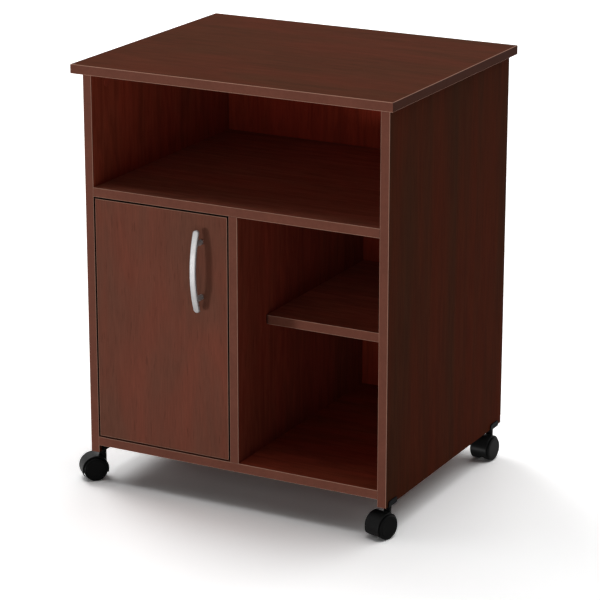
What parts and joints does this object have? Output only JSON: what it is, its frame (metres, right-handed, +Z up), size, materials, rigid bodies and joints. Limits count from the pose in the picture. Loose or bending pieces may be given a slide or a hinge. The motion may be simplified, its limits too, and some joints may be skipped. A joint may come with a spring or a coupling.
{
  "type": "printer cart",
  "caption": "Rolling printer cart with a flat top, an open top bay, a hinged cupboard beside an open bay with a half-depth shelf, and swivel casters.",
  "frame": {"origin": "middle of the whole cart's footprint, on the floor", "axes": "+X to the right as seen from the front, +Y from the front to the back, +Z up"},
  "size_m": [0.615, 0.502, 0.745],
  "materials": {
    "cherry_laminate": "satin cherry laminate",
    "cherry_edging": "satin cherry edging",
    "back_board": "satin printed hardboard",
    "dowel_wood": "plain beech",
    "zinc_plated_steel": "bright zinc",
    "satin_nickel": "satin nickel",
    "black_steel": "satin black",
    "magnet": "dull grey",
    "brown_cap_plastic": "dark brown",
    "black_nylon_hood": "satin black",
    "black_nylon_wheel": "satin black"
  },
  "bodies": {
    "root": {"back_nails": "zinc_plated_steel", "back_panel": "back_board", "bottom_panel": "cherry_laminate", "cam_bolts": "zinc_plated_steel", "cam_caps": "brown_cap_plastic", "cam_locks": "zinc_plated_steel", "carcass_edge_bands": "cherry_edging", "caster_sockets": "zinc_plated_steel", "caster_stems": "black_steel", "catch_magnet": "magnet", "catch_screws": "zinc_plated_steel", "divider_panel": "cherry_laminate", "divider_screws": "zinc_plated_steel", "fixed_shelf": "cherry_laminate", "front_left_saddle": "black_steel", "front_right_saddle": "black_steel", "half_shelf": "cherry_laminate", "hinge_arm_screws": "zinc_plated_steel", "hinge_plate_screws": "zinc_plated_steel", "left_side_panel": "cherry_laminate", "lower_hinge_arm": "zinc_plated_steel", "lower_hinge_plate": "zinc_plated_steel", "magnetic_catch": "brown_cap_plastic", "rear_left_saddle": "black_steel", "rear_right_saddle": "black_steel", "right_side_panel": "cherry_laminate", "saddle_screws": "black_steel", "shelf_pins": "brown_cap_plastic", "top_edge_bands": "cherry_edging", "top_panel": "cherry_laminate", "upper_hinge_arm": "zinc_plated_steel", "upper_hinge_plate": "zinc_plated_steel", "wood_dowels": "dowel_wood"},
    "door": {"door_panel": "cherry_laminate", "door_edge_bands": "cherry_edging", "door_handle": "satin_nickel", "handle_screws": "zinc_plated_steel", "lower_hinge_cup": "zinc_plated_steel", "upper_hinge_cup": "zinc_plated_steel", "hinge_pins": "zinc_plated_steel", "hinge_cup_screws": "zinc_plated_steel", "strike_plate": "zinc_plated_steel", "strike_screw": "zinc_plated_steel"},
    "front_left_swivel": {"front_left_hood": "black_nylon_hood", "front_left_axle": "zinc_plated_steel"},
    "front_left_wheel_a": {"front_left_wheel_a": "black_nylon_wheel"},
    "front_left_wheel_b": {"front_left_wheel_b": "black_nylon_wheel"},
    "front_right_swivel": {"front_right_hood": "black_nylon_hood", "front_right_axle": "zinc_plated_steel"},
    "front_right_wheel_a": {"front_right_wheel_a": "black_nylon_wheel"},
    "front_right_wheel_b": {"front_right_wheel_b": "black_nylon_wheel"},
    "rear_left_swivel": {"rear_left_hood": "black_nylon_hood", "rear_left_axle": "zinc_plated_steel"},
    "rear_left_wheel_a": {"rear_left_wheel_a": "black_nylon_wheel"},
    "rear_left_wheel_b": {"rear_left_wheel_b": "black_nylon_wheel"},
    "rear_right_swivel": {"rear_right_hood": "black_nylon_hood", "rear_right_axle": "zinc_plated_steel"},
    "rear_right_wheel_a": {"rear_right_wheel_a": "black_nylon_wheel"},
    "rear_right_wheel_b": {"rear_right_wheel_b": "black_nylon_wheel"}
  },
  "joints": [
    {"name": "door_hinge", "type": "hinge", "parent": "root", "child": "door", "pos_m": [-0.23845, -0.2125, 0.417], "axis": [0, 0, -1], "range_deg": [0, 95]},
    {"name": "front_left_swivel_turn", "type": "hinge", "parent": "root", "child": "front_left_swivel", "pos_m": [-0.26845, -0.197, 0.0475], "axis": [0, 0, 1], "continuous": true},
    {"name": "front_left_wheel_a_roll", "type": "hinge", "parent": "front_left_swivel", "child": "front_left_wheel_a", "pos_m": [-0.27996, -0.20811, 0.021], "axis": [0.6947, -0.7193, 0], "continuous": true},
    {"name": "front_left_wheel_b_roll", "type": "hinge", "parent": "front_left_swivel", "child": "front_left_wheel_b", "pos_m": [-0.27996, -0.20811, 0.021], "axis": [0.6947, -0.7193, 0], "continuous": true},
    {"name": "front_right_swivel_turn", "type": "hinge", "parent": "root", "child": "front_right_swivel", "pos_m": [0.28655, -0.197, 0.0475], "axis": [0, 0, 1], "continuous": true},
    {"name": "front_right_wheel_a_roll", "type": "hinge", "parent": "front_right_swivel", "child": "front_right_wheel_a", "pos_m": [0.28187, -0.2123, 0.021], "axis": [0.9563, -0.2924, 0], "continuous": true},
    {"name": "front_right_wheel_b_roll", "type": "hinge", "parent": "front_right_swivel", "child": "front_right_wheel_b", "pos_m": [0.28187, -0.2123, 0.021], "axis": [0.9563, -0.2924, 0], "continuous": true},
    {"name": "rear_left_swivel_turn", "type": "hinge", "parent": "root", "child": "rear_left_swivel", "pos_m": [-0.26845, 0.216, 0.0475], "axis": [0, 0, 1], "continuous": true},
    {"name": "rear_left_wheel_a_roll", "type": "hinge", "parent": "rear_left_swivel", "child": "rear_left_wheel_a", "pos_m": [-0.27393, 0.20096, 0.021], "axis": [0.9397, -0.342, 0], "continuous": true},
    {"name": "rear_left_wheel_b_roll", "type": "hinge", "parent": "rear_left_swivel", "child": "rear_left_wheel_b", "pos_m": [-0.27393, 0.20096, 0.021], "axis": [0.9397, -0.342, 0], "continuous": true},
    {"name": "rear_right_swivel_turn", "type": "hinge", "parent": "root", "child": "rear_right_swivel", "pos_m": [0.28655, 0.216, 0.0475], "axis": [0, 0, 1], "continuous": true},
    {"name": "rear_right_wheel_a_roll", "type": "hinge", "parent": "rear_right_swivel", "child": "rear_right_wheel_a", "pos_m": [0.28515, 0.20006, 0.021], "axis": [0.9962, -0.0872, 0], "continuous": true},
    {"name": "rear_right_wheel_b_roll", "type": "hinge", "parent": "rear_right_swivel", "child": "rear_right_wheel_b", "pos_m": [0.28515, 0.20006, 0.021], "axis": [0.9962, -0.0872, 0], "continuous": true}
  ]
}
